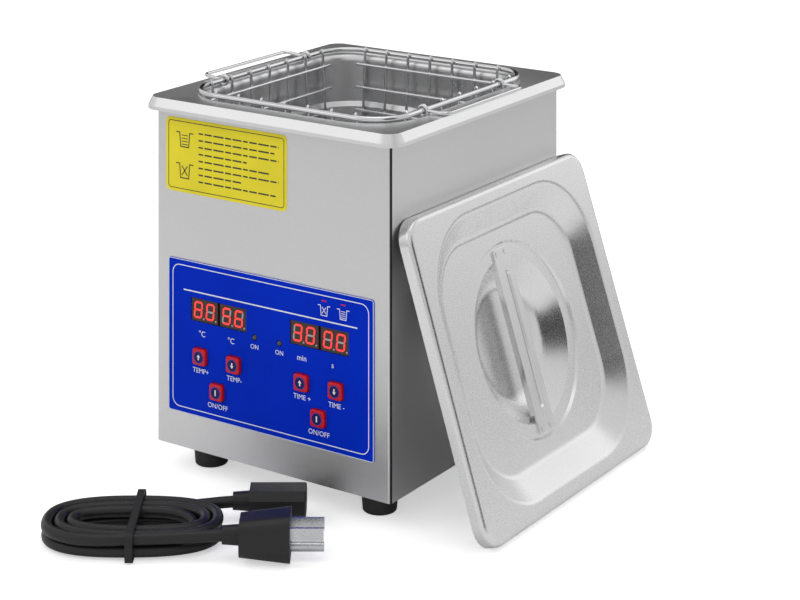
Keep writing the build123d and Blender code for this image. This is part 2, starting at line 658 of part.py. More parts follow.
FUSE_R, FUSE_L = 2.5, 19.6
with BuildPart() as fuse_drawer:
    with BuildSketch(rear_plane(inlet_face)):
        with Locations((-INLET_X, INLET_Z - DRAWER_DROP)):
            RectangleRounded(DRAWER_W + 2, DRAWER_H + 1.4, 0.8)
    extrude(amount=1.6)
    with BuildSketch(rear_plane(inlet_face)):
        with Locations((-INLET_X, INLET_Z - DRAWER_DROP)):
            Rectangle(DRAWER_W, DRAWER_H)
    extrude(amount=-DRAWER_L)
    with BuildSketch(level(INLET_Z - DRAWER_DROP + DRAWER_H / 2)):
        with Locations((INLET_X, inlet_face - 12)):
            Rectangle(FUSE_L + 0.4, 2 * FUSE_R + 0.4)
    extrude(amount=-2 * FUSE_R - 0.6, mode=Mode.SUBTRACT)
fuse_drawer.part.label = "fuse_drawer"
export_step(fuse_drawer.part, "parts/fuse_drawer.step")

with BuildPart() as fuse:
    fuse_z = INLET_Z - DRAWER_DROP + DRAWER_H / 2 - FUSE_R - 0.3
    with BuildSketch(Plane(origin=(INLET_X - FUSE_L / 2, inlet_face - 12, fuse_z), z_dir=(1, 0, 0))):
        Circle(FUSE_R)
    extrude(amount=FUSE_L)
fuse.part.label = "fuse"
export_step(fuse.part, "parts/fuse.step")

# ================================================================ M3 screws and board posts
def m3_screws(places, plane_at, shank_l):
    return screws(places, plane_at, 2.75, 1.8, 1.5, shank_l).part


with BuildPart() as case_screws:
    add(m3_screws(BASE_SCREWS, Plane(origin=(0, 0, BASE_Z), x_dir=(1, 0, 0), z_dir=(0, 0, -1)), 4.5))
    add(m3_screws([(-x, z) for x, z in REAR_SCREWS], rear_plane(BACK_Y), 5.0))
    add(m3_screws([(-INLET_X - 20, INLET_Z), (20 - INLET_X, INLET_Z)], rear_plane(inlet_face),
                  INLET_FLANGE_T - 0.1))
case_screws.part.label = "case_screws"
export_step(case_screws.part, "parts/case_screws.step")

with BuildPart() as board_screws:
    add(m3_screws([(-x, z) for x, z in BOARD_POSTS], rear_plane(BOARD_Y + BOARD_T), 6.0))
    add(m3_screws(DRIVER_POSTS, level(DRIVER_TOP), 6.0))
board_screws.part.label = "board_screws"
export_step(board_screws.part, "parts/board_screws.step")

with BuildPart() as board_posts:
    for plane_at, places, height in (
        (front_plane(BOARD_Y), BOARD_POSTS, BOARD_Y - FRONT_IN),
        (level(BASE_TOP), DRIVER_POSTS, POST_H),
    ):
        with BuildSketch(plane_at):
            with Locations(*places):
                RegularPolygon(2.75, 6, major_radius=False)
                Circle(1.55, mode=Mode.SUBTRACT)
        extrude(amount=height)
board_posts.part.label = "board_posts"
export_step(board_posts.part, "parts/board_posts.step")

# ================================================================ mains rocker switch
POCKET_W, POCKET_H, POCKET_DEPTH = 10.6, 18.0, 13.0
ROCKER_W, ROCKER_HALF_H = 10.0, 7.8
ROCKER_Y = BACK_Y - 1.5             # rocker pivot
PIVOT_R, PIVOT_PLAY = 0.8, 0.1
with BuildPart() as switch_housing:
    with BuildSketch(rear_plane(BACK_Y)):
        with Locations((-SWITCH_X, SWITCH_Z)):
            RectangleRounded(SWITCH_BODY_W + 2.4, SWITCH_BODY_H + 2.6, 1.2)
    extrude(amount=2)
    fillet(switch_housing.faces().sort_by(Axis.Y)[-1].edges(), 0.6)
    with BuildSketch(rear_plane(BACK_Y)):
        with Locations((-SWITCH_X, SWITCH_Z)):
            Rectangle(SWITCH_BODY_W, SWITCH_BODY_H)
    extrude(amount=-17)
    with BuildSketch(rear_plane(BACK_Y + 2)):
        with Locations((-SWITCH_X, SWITCH_Z)):
            Rectangle(POCKET_W, POCKET_H)
    extrude(amount=-POCKET_DEPTH, mode=Mode.SUBTRACT)
    with BuildSketch(Plane(origin=(SWITCH_X - POCKET_W / 2 - 0.3, ROCKER_Y, SWITCH_Z), z_dir=(1, 0, 0))):
        Circle(PIVOT_R)
    extrude(amount=POCKET_W + 0.6)
switch_housing.part.label = "switch_housing"
export_step(switch_housing.part, "parts/switch_housing.step")

tilt = radians(SWITCH_TILT)
ROCKER_PLANE = Plane(origin=(SWITCH_X - ROCKER_W / 2, ROCKER_Y, SWITCH_Z),
                     x_dir=(0, cos(tilt), -sin(tilt)), z_dir=(1, 0, 0))
with BuildPart() as rocker:
    with BuildSketch(ROCKER_PLANE):
        with BuildLine():
            Polyline((4.4, ROCKER_HALF_H), (3.0, 0), (4.4, -ROCKER_HALF_H), (1.0, -ROCKER_HALF_H),
                     (-5, -3), (-5, 3), (1.0, ROCKER_HALF_H), close=True)
        make_face()
        Circle(PIVOT_R + PIVOT_PLAY, mode=Mode.SUBTRACT)
    extrude(amount=ROCKER_W)
rocker.part.label = "rocker"
export_step(rocker.part, "parts/rocker.step")

# ================================================================ lid, leaning on the right side
lean = radians(LID_LEAN)
lid_up = (-sin(lean), 0, cos(lean))             # up the slope of the lid's face
lid_out = (cos(lean), 0, sin(lean))             # out of the face, the way the handle is pulled
lid_middle = (
    BODY_W / 2 + LID_GAP + LID_SKIRT * cos(lean) + LID_U / 2 * sin(lean),
    LID_SHIFT_Y,
    LID_SKIRT * sin(lean) + LID_U / 2 * cos(lean),
)
LID = Plane(origin=lid_middle, x_dir=lid_up, z_dir=lid_out)
RING_Z = -RECESS_DEPTH - RING_DROP
MOUTH_U, MOUTH_V = RECESS_U + 2 * RECESS_RUN, RECESS_V + 2 * RECESS_RUN
WALL_TAPER = degrees(atan(RECESS_RUN / RECESS_DEPTH))
WALL_SHIFT = SHEET * (1 / cos(radians(WALL_TAPER)) - RECESS_RUN / RECESS_DEPTH)


def lid_pressing(grow):
    """The space over the lid's face and in its recess, ring and bowl, with the sheet moved by grow."""
    floor = LID.offset(-RECESS_DEPTH - grow)
    with BuildPart() as pressing:
        shift = WALL_SHIFT * grow / SHEET
        with BuildSketch(floor):
            RectangleRounded(RECESS_U + 2 * shift, RECESS_V + 2 * shift, RECESS_CORNER + shift)
        extrude(amount=RECESS_DEPTH, taper=-WALL_TAPER)
        fillet(pressing.faces().sort_by(Axis(lid_middle, lid_out))[0].edges(), 6.0 + grow)
        with BuildSketch(LID.offset(-grow)):
            RectangleRounded(LID_U - 2 * LID_EDGE_R, LID_V - 2 * LID_EDGE_R, LID_CORNER - LID_EDGE_R)
        extrude(amount=6)
        mouth = pressing.edges().filter_by(lambda e: abs(LID.to_local_coords(e.center()).Z + grow) < 0.01)
        mouth = mouth.filter_by(lambda e: abs(LID.to_local_coords(e.center()).X) < MOUTH_U / 2 + 0.5)
        mouth = mouth.filter_by(lambda e: abs(LID.to_local_coords(e.center()).Y) < MOUTH_V / 2 + 0.5)
        fillet(mouth, 5.0 - grow)
        with BuildSketch(LID.offset(RING_Z - grow)):
            Circle(RING_R - 1 + grow)
        extrude(amount=RING_DROP + 0.5, taper=-40)
        bowl_run = degrees(atan((BOWL_R - BOWL_FLOOR_R) / BOWL_DEPTH))
        with BuildSketch(LID.offset(RING_Z - BOWL_DEPTH - grow)):
            Circle(BOWL_FLOOR_R + 0.4 * grow)
        extrude(amount=BOWL_DEPTH, taper=-bowl_run)
        fillet(pressing.faces().sort_by(Axis(lid_middle, lid_out))[0].edges(), 12.0 + grow)
    return pressing.part


pressing_inside = lid_pressing(0.0)
pressing_outside = lid_pressing(SHEET)
RIVETS = [(u, v) for u in (2.3 - GRIP_L / 2, GRIP_L / 2 - 2.3) for v in (-4.2, 4.2)]
with BuildPart() as lid_pan:
    with BuildSketch(LID.offset(-LID_SKIRT)):
        RectangleRounded(LID_U, LID_V, LID_CORNER)
    extrude(amount=LID_SKIRT)
    fillet(lid_pan.faces().sort_by(Axis(lid_middle, lid_out))[-1].edges(), LID_EDGE_R)
    with BuildSketch(LID.offset(-LID_SKIRT)):
        RectangleRounded(LID_U - 2 * SHEET, LID_V - 2 * SHEET, LID_CORNER - SHEET)
    extrude(amount=LID_SKIRT - LID_EDGE_R, mode=Mode.SUBTRACT)
    with BuildSketch(LID.offset(-LID_EDGE_R)):
        RectangleRounded(LID_U - 2 * LID_EDGE_R, LID_V - 2 * LID_EDGE_R, LID_CORNER - LID_EDGE_R)
    extrude(amount=LID_EDGE_R - SHEET, mode=Mode.SUBTRACT)
    add(pressing_outside)
    add(pressing_inside, mode=Mode.SUBTRACT)
    with BuildSketch(LID):
        with Locations(*RIVETS):
            Circle(1.25)
    extrude(amount=2 * RING_Z, mode=Mode.SUBTRACT)
lid_pan.part.label = "lid_pan"
export_step(lid_pan.part, "parts/lid_pan.step")

GROOVE_L, GROOVE_W, GROOVE_DEPTH = 76.0, 6.0, 1.2
with BuildPart() as lid_handle:
    with BuildSketch(LID.offset(RING_Z)):
        RectangleRounded(GRIP_L, GRIP_W, 1.5)
    extrude(amount=GRIP_T)
    edge_l = 2 * BOWL_R - 10
    with BuildSketch(LID.offset(RING_Z)):
        Rectangle(edge_l, GRIP_W)
        Rectangle(edge_l, GRIP_W - 2 * GRIP_T, mode=Mode.SUBTRACT)
        SlotOverall(GROOVE_L + 2, GROOVE_W + 1.6)
    extrude(amount=-GROOVE_DEPTH)
    with BuildSketch(LID.offset(RING_Z - GROOVE_DEPTH)):
        Rectangle(edge_l, GRIP_W)
        Rectangle(edge_l, GRIP_W - 2 * GRIP_T, mode=Mode.SUBTRACT)
    extrude(amount=GROOVE_DEPTH - GRIP_EDGE)
    with BuildSketch(LID.offset(RING_Z + GRIP_T)):
        SlotOverall(GROOVE_L, GROOVE_W)
    extrude(amount=-GROOVE_DEPTH, taper=30, mode=Mode.SUBTRACT)
    with BuildSketch(LID.offset(RING_Z)):
        with Locations(*RIVETS):
            Circle(1.25)
    extrude(amount=GRIP_T, mode=Mode.SUBTRACT)
lid_handle.part.label = "lid_handle"
export_step(lid_handle.part, "parts/lid_handle.step")

with BuildPart() as handle_rivets:
    with BuildSketch(LID.offset(RING_Z + GRIP_T)):
        with Locations(*RIVETS):
            Circle(1.8)
    extrude(amount=0.5)
    with BuildSketch(LID.offset(RING_Z + GRIP_T)):
        with Locations(*RIVETS):
            Circle(1.2)
    extrude(amount=-GRIP_T - SHEET)
    with BuildSketch(LID.offset(RING_Z - SHEET)):
        with Locations(*RIVETS):
            Circle(1.6)
    extrude(amount=-0.6)
handle_rivets.part.label = "handle_rivets"
export_step(handle_rivets.part, "parts/handle_rivets.step")

# ================================================================ wire basket in the tank
HOOK_R = (RIM_WIRE + WALL_WIRE) / 2 + 0.02      # the wires lie against the rim
HOOK_START = 130.0                  # where a wire's curled end begins, in degrees about the rim


def wall_offset(z):
    """How far a wall's upright wires stand inside the rim's centre line at height z."""
    return HOOK_R + BASKET_TAPER * (RIM_Z - z) / (RIM_Z - BASKET_FLOOR_Z)


def hooped_wire(plane, half, floor_drop):
    """One wire: curled in against the rim, down the wall, across the floor and up the other side."""
    low = RIM_Z - BASKET_FLOOR_Z + floor_drop
    foot = half - wall_offset(RIM_Z - low)
    with BuildPart() as wire:
        with BuildLine(plane) as path:
            FilletPolyline((half - HOOK_R, 0), (foot, -low), (-foot, -low), (HOOK_R - half, 0),
                           radius=BASKET_BEND_R)
            CenterArc((half, 0), HOOK_R, 180, HOOK_START - 180)
            CenterArc((-half, 0), HOOK_R, 0, 180 - HOOK_START)
        start = path.wires()[0]
        with BuildSketch(Plane(origin=start @ 0, z_dir=start % 0)):
            Circle(WALL_WIRE / 2)
        sweep(path=start)
    return wire.part


with BuildSketch(level(RIM_Z)) as rim_outline:
    RectangleRounded(RIM_W, RIM_D, RIM_CORNER)
rim_wire = rim_outline.sketch.face().outer_wire()
with BuildPart() as basket_rim:
    with BuildSketch(Plane(origin=rim_wire @ 0, z_dir=rim_wire % 0)):
        Circle(RIM_WIRE / 2)
    sweep(path=rim_wire)
basket_rim.part.label = "basket_rim"
export_step(basket_rim.part, "parts/basket_rim.step")

with BuildPart() as basket_hoops:
    steps = [i - (WIRES_PER_WALL - 1) / 2 for i in range(WIRES_PER_WALL)]
    for step in steps:
        add(hooped_wire(Plane(origin=(0, step * SIDE_PITCH, RIM_Z), x_dir=(1, 0, 0), z_dir=(0, -1, 0)),
                        RIM_W / 2, 0))
        add(hooped_wire(Plane(origin=(step * END_PITCH, 0, RIM_Z), x_dir=(0, 1, 0), z_dir=(1, 0, 0)),
                        RIM_D / 2, -WALL_WIRE))
basket_hoops.part.label = "basket_hoops"
export_step(basket_hoops.part, "parts/basket_hoops.step")

with BuildPart() as basket_level_wires:
    for drop in ROW_DROPS:
        z = RIM_Z - drop
        inset = wall_offset(z) + WALL_WIRE
        side_run = (WIRES_PER_WALL - 1) * SIDE_PITCH / 2 + ROW_OVERRUN
        end_run = (WIRES_PER_WALL - 1) * END_PITCH / 2 + ROW_OVERRUN
        with BuildSketch(Plane(origin=(0, -side_run, z), z_dir=(0, 1, 0), x_dir=(1, 0, 0))):
            with Locations((RIM_W / 2 - inset, 0), (inset - RIM_W / 2, 0)):
                Circle(WALL_WIRE / 2)
        extrude(amount=2 * side_run)
        with BuildSketch(Plane(origin=(-end_run, 0, z), z_dir=(1, 0, 0), x_dir=(0, 1, 0))):
            with Locations((RIM_D / 2 - inset, 0), (inset - RIM_D / 2, 0)):
                Circle(WALL_WIRE / 2)
        extrude(amount=2 * end_run)
basket_level_wires.part.label = "basket_level_wires"
export_step(basket_level_wires.part, "parts/basket_level_wires.step")


def basket_bow(side, lift):
    """A folding wire handle: two eyes round the rim, two legs and a bar. side is -1 left, 1 right."""
    up = radians(lift)
    plane = Plane(origin=(side * RIM_W / 2, 0, RIM_Z), x_dir=(side * cos(up), 0, sin(up)),
                  z_dir=(-side * sin(up), 0, cos(up)))
    eye_r = RIM_WIRE / 2 + BOW_PLAY + BOW_WIRE / 2
    with BuildPart() as bow:
        with BuildLine(plane) as path:
            FilletPolyline((eye_r, -BOW_HALF), (BOW_LEG, -BOW_HALF), (BOW_LEG, BOW_HALF), (eye_r, BOW_HALF),
                           radius=4)
        run = path.wires()[0]
        with BuildSketch(Plane(origin=run @ 0, z_dir=run % 0)):
            Circle(BOW_WIRE / 2)
        sweep(path=run)
        for y in (-BOW_HALF, BOW_HALF):
            with Locations(Location((side * RIM_W / 2, y, RIM_Z), (90, 0, 0))):
                Torus(eye_r, BOW_WIRE / 2)
    return bow


basket_handle_left = basket_bow(-1, BOW_LIFT_LEFT)
basket_handle_left.part.label = "basket_handle_left"
export_step(basket_handle_left.part, "parts/basket_handle_left.step")

basket_handle_right = basket_bow(1, 0.0)
basket_handle_right.part.label = "basket_handle_right"
export_step(basket_handle_right.part, "parts/basket_handle_right.step")

# ================================================================ mains lead, coiled on the bench
CORD_R, CORD_PITCH = 3.0, 6.5
HANK_LOOPS = 3                      # turns side by side in each of the two layers
HANK_A, HANK_B = 51.0, 30.0         # half length and half width of the coil
HANK_H = 13.0
HANK_TURN = 34.0                    # degrees, from the line of the front panel
HANK_AT = (-26.0, -168.0)
TIE_T, TIE_W = 0.8, 4.0
HANK_Z = TIE_T + 0.2                # the coil lies on its tie
HANK = Plane(origin=(*HANK_AT, 0), x_dir=(cos(radians(HANK_TURN)), sin(radians(HANK_TURN)), 0))
TAIL_Y = HANK_B - CORD_PITCH
CONNECTOR_X, CONNECTOR_Z = HANK_A + 7.0, 10.5
PLUG_X, PLUG_Z = HANK_A + 5.0, 12.5


def along_hank(x, y, z):
    """An upright plane across the coil's length at (x, y, z) in the coil's own frame."""
    return Plane(HANK * Plane(origin=(x, y, z), x_dir=(0, 1, 0), z_dir=(1, 0, 0)))


with BuildPart() as mains_cord:
    with BuildSketch(HANK.offset(HANK_Z)):
        SlotOverall(2 * HANK_A, 2 * HANK_B)
        hole_inset = HANK_LOOPS * CORD_PITCH
        SlotOverall(2 * (HANK_A - hole_inset), 2 * (HANK_B - hole_inset), mode=Mode.SUBTRACT)
    extrude(amount=HANK_H)
    fillet(mains_cord.edges().group_by(Axis.Z)[0] + mains_cord.edges().group_by(Axis.Z)[-1], CORD_R)
    for tail_y, tail_x, tail_z in ((TAIL_Y, CONNECTOR_X, CONNECTOR_Z), (-TAIL_Y, PLUG_X, PLUG_Z)):
        with BuildSketch(along_hank(tail_x, tail_y, tail_z)):
            Circle(CORD_R)
        extrude(amount=-30)
mains_cord.part.label = "mains_cord"
export_step(mains_cord.part, "parts/mains_cord.step")

with BuildPart() as cord_connector:
    body = along_hank(CONNECTOR_X, TAIL_Y, CONNECTOR_Z)
    with BuildSketch(body):
        Circle(5.2)
        Circle(CORD_R + 0.05, mode=Mode.SUBTRACT)
    extrude(amount=-9, taper=4)
    with BuildSketch(body) as shape:
        Rectangle(20, 15)
        chamfer(shape.vertices().group_by(Axis.Z)[-1], 4)
    extrude(amount=30)
    fillet(cord_connector.faces().sort_by(Axis(body.origin, body.z_dir))[-1].edges(), 0.8)
    with BuildSketch(body.offset(30)):
        with Locations((-6, -2), (6, -2), (0, 2)):
            Rectangle(1.8, 4.2)
    extrude(amount=-16, mode=Mode.SUBTRACT)
cord_connector.part.label = "cord_connector"
export_step(cord_connector.part, "parts/cord_connector.step")

with BuildPart() as mains_plug:
    plug_body = along_hank(PLUG_X, -TAIL_Y, PLUG_Z)
    with BuildSketch(plug_body):
        Circle(5.2)
        Circle(CORD_R + 0.05, mode=Mode.SUBTRACT)
    extrude(amount=-9, taper=4)
    with BuildSketch(plug_body):
        RectangleRounded(22, 18, 6)
    with BuildSketch(plug_body.offset(26)):
        RectangleRounded(26, 24, 8)
    loft()
    with BuildSketch(plug_body.offset(26)):
        with Locations((-6.35, 3), (6.35, 3), (0, -6)):
            Circle(1.2)
    extrude(amount=-5, mode=Mode.SUBTRACT)
mains_plug.part.label = "mains_plug"
export_step(mains_plug.part, "parts/mains_plug.step")

with BuildPart() as plug_pins:
    with BuildSketch(plug_body.offset(21.2)):
        with Locations((-6.35, 3), (6.35, 3)):
            Circle(1.15)
        with Locations((0, -6)):
            Circle(1.15)
    extrude(amount=4.8)
    with BuildSketch(plug_body.offset(26)):
        with Locations((-6.35, 3), (6.35, 3)):
            Rectangle(1.5, 6.3)
        with Locations((0, -6)):
            Circle(2.4)
    extrude(amount=17)
plug_pins.part.label = "plug_pins"
export_step(plug_pins.part, "parts/plug_pins.step")

with BuildPart() as cord_tie:
    strap_w = 2 * (HANK_B + TIE_T) + 0.4
    strap_h = HANK_H + 2 * HANK_Z
    with BuildSketch(along_hank(-TIE_W / 2, 0, strap_h / 2)):
        RectangleRounded(strap_w, strap_h, CORD_R + TIE_T)
        offset(amount=-TIE_T, mode=Mode.SUBTRACT)
    extrude(amount=TIE_W)
cord_tie.part.label = "cord_tie"
export_step(cord_tie.part, "parts/cord_tie.step")
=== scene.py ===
"""Looks for the ultrasonic cleaner: materials, printed panel and label, lit displays, cord and studio."""
import math

import bmesh
import bpy
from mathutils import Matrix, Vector


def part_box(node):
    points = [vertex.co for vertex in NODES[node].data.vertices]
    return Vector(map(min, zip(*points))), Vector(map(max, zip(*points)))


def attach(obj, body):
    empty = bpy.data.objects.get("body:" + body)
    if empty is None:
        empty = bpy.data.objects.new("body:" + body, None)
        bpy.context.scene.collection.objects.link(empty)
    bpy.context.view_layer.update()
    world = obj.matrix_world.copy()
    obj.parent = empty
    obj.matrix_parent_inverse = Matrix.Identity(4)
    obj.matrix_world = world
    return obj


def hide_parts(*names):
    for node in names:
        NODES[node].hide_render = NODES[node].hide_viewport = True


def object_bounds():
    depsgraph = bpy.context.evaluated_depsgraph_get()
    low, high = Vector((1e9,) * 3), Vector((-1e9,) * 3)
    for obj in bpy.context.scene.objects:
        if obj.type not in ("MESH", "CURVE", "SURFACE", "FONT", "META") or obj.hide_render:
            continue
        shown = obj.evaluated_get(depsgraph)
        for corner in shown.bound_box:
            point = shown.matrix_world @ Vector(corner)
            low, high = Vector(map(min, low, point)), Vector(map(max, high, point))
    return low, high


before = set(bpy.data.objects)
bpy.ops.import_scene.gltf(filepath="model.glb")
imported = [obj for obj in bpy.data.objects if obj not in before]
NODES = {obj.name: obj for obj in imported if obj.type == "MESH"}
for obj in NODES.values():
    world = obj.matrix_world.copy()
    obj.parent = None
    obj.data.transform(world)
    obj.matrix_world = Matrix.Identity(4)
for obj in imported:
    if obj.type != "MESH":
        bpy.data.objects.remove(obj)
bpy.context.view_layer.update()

MM = 0.001
MIX_A, MIX_B, MIX_RESULT = 6, 7, 2          # colour sockets of a Mix node
PATTERN_LOW, PATTERN_HIGH = 0.3, 0.7        # where most of a noise pattern lies
BRUSH_SCALE, SMUDGE_SCALE, CLOUD_SCALE = 2200, 14, 30
COAT_ROUGHNESS = 0.08


# ---------------------------------------------------------------- material helpers
class Shader:
    """A Principled material with a few shortcuts for wiring procedural detail."""

    def __init__(self, name, color, metallic=0.0, roughness=0.5):
        self.material = bpy.data.materials.new(name)
        self.material.use_nodes = True
        self.tree = self.material.node_tree
        self.bsdf = self.tree.nodes["Principled BSDF"]
        self.bsdf.inputs["Base Color"].default_value = (*color, 1)
        self.bsdf.inputs["Metallic"].default_value = metallic
        self.bsdf.inputs["Roughness"].default_value = roughness
        self.coords = self.tree.nodes.new("ShaderNodeTexCoord").outputs["Object"]

    def node(self, kind, **values):
        made = self.tree.nodes.new(kind)
        for key, value in values.items():
            setattr(made, key, value)
        return made

    def link(self, source, target):
        self.tree.links.new(source, target)

    def blend_color(self, factor, first, second):
        """Blend the base colour from the first to the second; the first may be a socket."""
        blend = self.node("ShaderNodeMix", data_type="RGBA")
        self.link(factor, blend.inputs[0])
        if isinstance(first, tuple):
            blend.inputs[MIX_A].default_value = (*first, 1)
        else:
            self.link(first, blend.inputs[MIX_A])
        blend.inputs[MIX_B].default_value = (*second, 1)
        self.link(blend.outputs[MIX_RESULT], self.bsdf.inputs["Base Color"])

    def color_source(self):
        return self.bsdf.inputs["Base Color"].links[0].from_socket

    def calc(self, operation, first, second):
        """A Math node; the second value may be a number or a socket."""
        result = self.node("ShaderNodeMath", operation=operation)
        self.link(first, result.inputs[0])
        if isinstance(second, (int, float)):
            result.inputs[1].default_value = second
        else:
            self.link(second, result.inputs[1])
        return result.outputs[0]

    def noise(self, scale, stretch=(1, 1, 1), detail=3.0):
        mapping = self.node("ShaderNodeMapping")
        mapping.inputs["Scale"].default_value = stretch
        texture = self.node("ShaderNodeTexNoise")
        texture.inputs["Scale"].default_value = scale
        texture.inputs["Detail"].default_value = detail
        self.link(self.coords, mapping.inputs["Vector"])
        self.link(mapping.outputs["Vector"], texture.inputs["Vector"])
        return texture.outputs["Fac"]

    def spread(self, source, low, high):
        """Map a 0 to 1 pattern onto low to high."""
        ranged = self.node("ShaderNodeMapRange")
        ranged.inputs["From Min"].default_value = PATTERN_LOW
        ranged.inputs["From Max"].default_value = PATTERN_HIGH
        ranged.inputs["To Min"].default_value = low
        ranged.inputs["To Max"].default_value = high
        self.link(source, ranged.inputs["Value"])
        return ranged.outputs["Result"]

    def bump(self, source, strength, distance):
        bumped = self.node("ShaderNodeBump")
        bumped.inputs["Strength"].default_value = strength
        bumped.inputs["Distance"].default_value = distance
        self.link(source, bumped.inputs["Height"])
        self.link(bumped.outputs["Normal"], self.bsdf.inputs["Normal"])


def darker(color, share):
    return tuple(part * (1 - share) for part in color)


def brushed_steel(name, color, roughness, stretch, grain):
    """Stainless sheet with fine parallel grain: stretch is small along the brushing."""
    shader = Shader(name, color, 1.0, roughness)
    lines = shader.noise(BRUSH_SCALE, stretch)
    smudge = shader.noise(SMUDGE_SCALE)
    shader.blend_color(shader.spread(lines, 0.0, 1.0), darker(color, grain * 0.35), color)
    sheen = shader.calc("ADD", shader.spread(lines, -0.05, 0.05),
                        shader.spread(smudge, roughness - 0.03, roughness + 0.04))
    shader.link(sheen, shader.bsdf.inputs["Roughness"])
    shader.bump(lines, grain, 0.04 * MM)
    return shader


def plain(name, color, roughness, grain_scale, bump, metallic=0.0, coat=0.0, specular=0.5):
    """Moulded, painted or printed stuff: slight mottling, uneven sheen and a fine surface."""
    shader = Shader(name, color, metallic, roughness)
    grain = shader.noise(grain_scale, detail=5.0)
    cloud = shader.noise(CLOUD_SCALE)
    shader.blend_color(shader.spread(cloud, 0.0, 1.0), darker(color, 0.12), color)
    sheen = shader.spread(grain, max(roughness - 0.06, 0.02), roughness + 0.06)
    shader.link(sheen, shader.bsdf.inputs["Roughness"])
    shader.bump(grain, bump, 0.05 * MM)
    shader.bsdf.inputs["Coat Weight"].default_value = coat
    shader.bsdf.inputs["Specular IOR Level"].default_value = specular
    shader.bsdf.inputs["Coat Roughness"].default_value = COAT_ROUGHNESS
    return shader


def glowing(name, color, strength):
    """A lit segment, with slightly uneven light."""
    shader = Shader(name, color, 0.0, 0.35)
    cells = shader.noise(900, detail=2.0)
    glow = shader.spread(cells, strength * 0.92, strength * 1.05)
    shader.link(glow, shader.bsdf.inputs["Emission Strength"])
    shader.bsdf.inputs["Emission Color"].default_value = (*color, 1)
    return shader


BEND_REFLECTION_X, BEND_REFLECTION_Y = 79.1 * MM, -85.9 * MM      # the painted dark reflection along the folded corner lies beyond both
# colour of the painted dark reflection on the bend of the front right corner
BEND_REFLECTION_COLOR = (0.05, 0.05, 0.05)


def casing_steel():
    """Brushed casing sheet, with a painted dark reflection along the bend of its folded front right corner.
    """
    shader = brushed_steel("casing_brushed", (0.74, 0.74, 0.74), 0.42, (0.22, 0.22, 1.0), 0.14)
    parts = shader.node("ShaderNodeSeparateXYZ")
    shader.link(shader.coords, parts.inputs[0])
    near_side = shader.calc("GREATER_THAN", parts.outputs["X"], BEND_REFLECTION_X)
    near_front = shader.calc("LESS_THAN", parts.outputs["Y"], BEND_REFLECTION_Y)
    # painted dark reflection: the bend of the front right corner is darkened in the base colour
    painted_reflection = shader.calc("MULTIPLY", near_side, near_front)
    shader.blend_color(painted_reflection, shader.color_source(), BEND_REFLECTION_COLOR)
    return shader


MATERIALS = {
    "casing": casing_steel(),
    "panel_steel": brushed_steel("rear_brushed", (0.7, 0.7, 0.705), 0.4, (0.02, 0.02, 1.0), 0.25),
    "tank": brushed_steel("tank_drawn", (0.84, 0.84, 0.845), 0.33, (1.0, 1.0, 0.3), 0.02),
    "lid": brushed_steel("lid_satin", (0.8, 0.8, 0.8), 0.27, (1.0, 0.5, 1.0), 0.04),
    "handle": brushed_steel("handle_satin", (0.8, 0.8, 0.8), 0.22, (0.03, 1.0, 0.03), 0.15),
    "wire": plain("basket_wire", (0.82, 0.82, 0.83), 0.14, 1200, 0.05, metallic=1.0),
    "screw": plain("plated_screw", (0.66, 0.67, 0.69), 0.28, 900, 0.2, metallic=1.0),
    "rubber": plain("foot_rubber", (0.018, 0.018, 0.018), 0.62, 1600, 0.5),
    "black": plain("black_moulding", (0.014, 0.014, 0.014), 0.45, 1400, 0.35, specular=0.35),
    "cord": plain("cord_pvc", (0.012, 0.012, 0.012), 0.36, 700, 0.2, specular=0.4),
    "brass": plain("plated_brass", (0.75, 0.6, 0.3), 0.25, 900, 0.1, metallic=1.0),
    "aluminium": plain("aluminium", (0.72, 0.73, 0.74), 0.35, 900, 0.25, metallic=1.0),
    "board": plain("board_green", (0.02, 0.16, 0.06), 0.35, 500, 0.15, coat=0.3),
    "silicone": plain("heater_mat", (0.6, 0.2, 0.07), 0.6, 600, 0.4),
    "seal": plain("seal_foam", (0.5, 0.5, 0.5), 0.8, 500, 0.5),
    "ceramic": plain("piezo_ceramic", (0.62, 0.56, 0.45), 0.5, 900, 0.2),
    "sleeve": plain("capacitor_sleeve", (0.03, 0.05, 0.16), 0.3, 500, 0.1),
    "lead": plain("lead_red", (0.45, 0.03, 0.03), 0.4, 700, 0.15),
    "ribbon": plain("ribbon_grey", (0.35, 0.35, 0.36), 0.5, 700, 0.15),
    "green": plain("terminal_green", (0.02, 0.25, 0.09), 0.45, 900, 0.2),
    "blue": plain("panel_blue", (0.001, 0.028, 0.56), 0.5, 500, 0.02, specular=0.03),
    "yellow": plain("label_yellow", (0.9, 0.77, 0.04), 0.5, 500, 0.03, specular=0.15),
    "white_ink": plain("white_ink", (0.86, 0.88, 0.92), 0.5, 900, 0.05),
    "black_ink": plain("black_ink", (0.03, 0.03, 0.025), 0.5, 900, 0.05),
    "red": plain("button_red", (0.6, 0.006, 0.015), 0.3, 900, 0.05, coat=0.15, specular=0.25),
    "navy": plain("button_navy", (0.012, 0.008, 0.1), 0.4, 900, 0.05, specular=0.2),
    "ring": plain("button_ring", (0.06, 0.07, 0.5), 0.4, 900, 0.05, specular=0.2),
    "display": plain("display_face", (0.055, 0.033, 0.03), 0.25, 900, 0.05, specular=0.3),
    "off": plain("segment_off", (0.42, 0.4, 0.4), 0.4, 900, 0.05),
    "on": glowing("segment_on", (1.0, 0.035, 0.03), 0.95),
    "lamp": plain("lamp_tint", (0.05, 0.045, 0.04), 0.2, 900, 0.02, coat=0.5),
    "glass": plain("fuse_glass", (0.7, 0.75, 0.75), 0.1, 400, 0.02),
}
BUTTON_NODES = [name for name in NODES if name.startswith("button_")]
